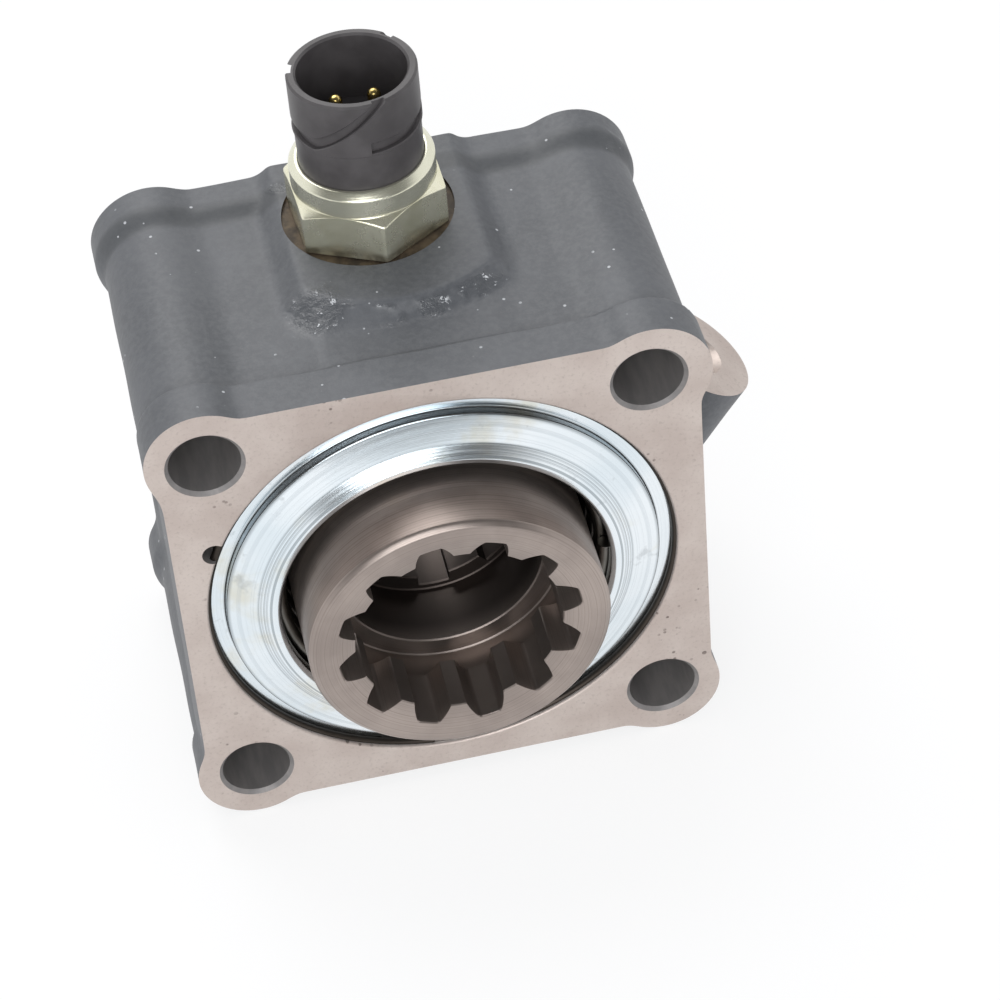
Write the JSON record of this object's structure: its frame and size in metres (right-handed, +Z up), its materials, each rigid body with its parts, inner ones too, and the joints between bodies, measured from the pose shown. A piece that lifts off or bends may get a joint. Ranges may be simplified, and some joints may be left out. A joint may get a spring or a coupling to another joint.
{
  "type": "power take off unit",
  "caption": "Square rear-mount power take off with an air-shifted splined coupling sleeve, a return spring under a plated retainer, and a position switch on top",
  "frame": {"origin": "centre of the gearbox face, on the shaft axis", "axes": "+Y runs into the unit from the gearbox face to the pump face, +Z up to the switch, +X to the side of the air port"},
  "size_m": [0.1193, 0.0795, 0.1356],
  "materials": {
    "painted_iron": "satin dark grey blue paint over cast iron, machined faces left bare",
    "zinc_plate": "bright zinc plating with a faint blue and yellow tint",
    "dark_steel": "dark phosphated spring steel",
    "spring_steel": "grey oiled spring wire",
    "sleeve_steel": "ground and hardened steel, brown grey, darker inside",
    "piston_alloy": "turned aluminium alloy",
    "bearing_steel": "polished bearing steel",
    "cage_brass": "machined brass",
    "seal_rubber": "black nitrile rubber",
    "washer_copper": "tarnished copper",
    "switch_zinc": "yellowish zinc plated steel",
    "connector_plastic": "charcoal glass filled plastic",
    "pin_brass": "plated contact brass"
  },
  "bodies": {
    "housing": {"housing": "painted_iron", "retainer_snap_ring": "dark_steel", "spring_retainer": "zinc_plate", "return_spring": "spring_steel", "switch_washer": "washer_copper", "switch_body": "switch_zinc", "switch_spring": "spring_steel", "switch_connector": "connector_plastic", "switch_pins": "pin_brass"},
    "piston": {"piston": "piston_alloy", "piston_outer_seal": "seal_rubber", "piston_inner_seal": "seal_rubber", "bearing_outer_race": "bearing_steel", "bearing_clip": "dark_steel", "spring_plate": "spring_steel"},
    "sleeve": {"coupling_sleeve": "sleeve_steel", "bearing_inner_race": "bearing_steel", "sleeve_clip": "dark_steel"},
    "ball_row": {"bearing_cage": "cage_brass", "bearing_balls": "bearing_steel"},
    "plunger": {"switch_plunger": "bearing_steel"}
  },
  "joints": [
    {"name": "shift", "type": "slide", "parent": "housing", "child": "piston", "axis": [0, -1, 0], "range_m": [0, 0.009], "stiffness_N_per_m": 12000, "springref_m": -0.008, "deforming": ["return_spring"]},
    {"name": "sleeve_spin", "type": "hinge", "parent": "piston", "child": "sleeve", "pos_m": [0, 0.032, 0], "axis": [0, 1, 0], "continuous": true},
    {"name": "ball_orbit", "type": "hinge", "parent": "piston", "child": "ball_row", "pos_m": [0, 0.032, 0], "axis": [0, 1, 0], "continuous": true},
    {"name": "plunger_travel", "type": "slide", "parent": "housing", "child": "plunger", "axis": [0, 0, -1], "range_m": [0, 0.0018], "deforming": ["switch_spring"]}
  ],
  "couplings": [
    {"joint": "ball_orbit", "follows": "sleeve_spin", "ratio": 0.4606},
    {"joint": "plunger_travel", "follows": "shift", "ratio": 0.2}
  ]
}
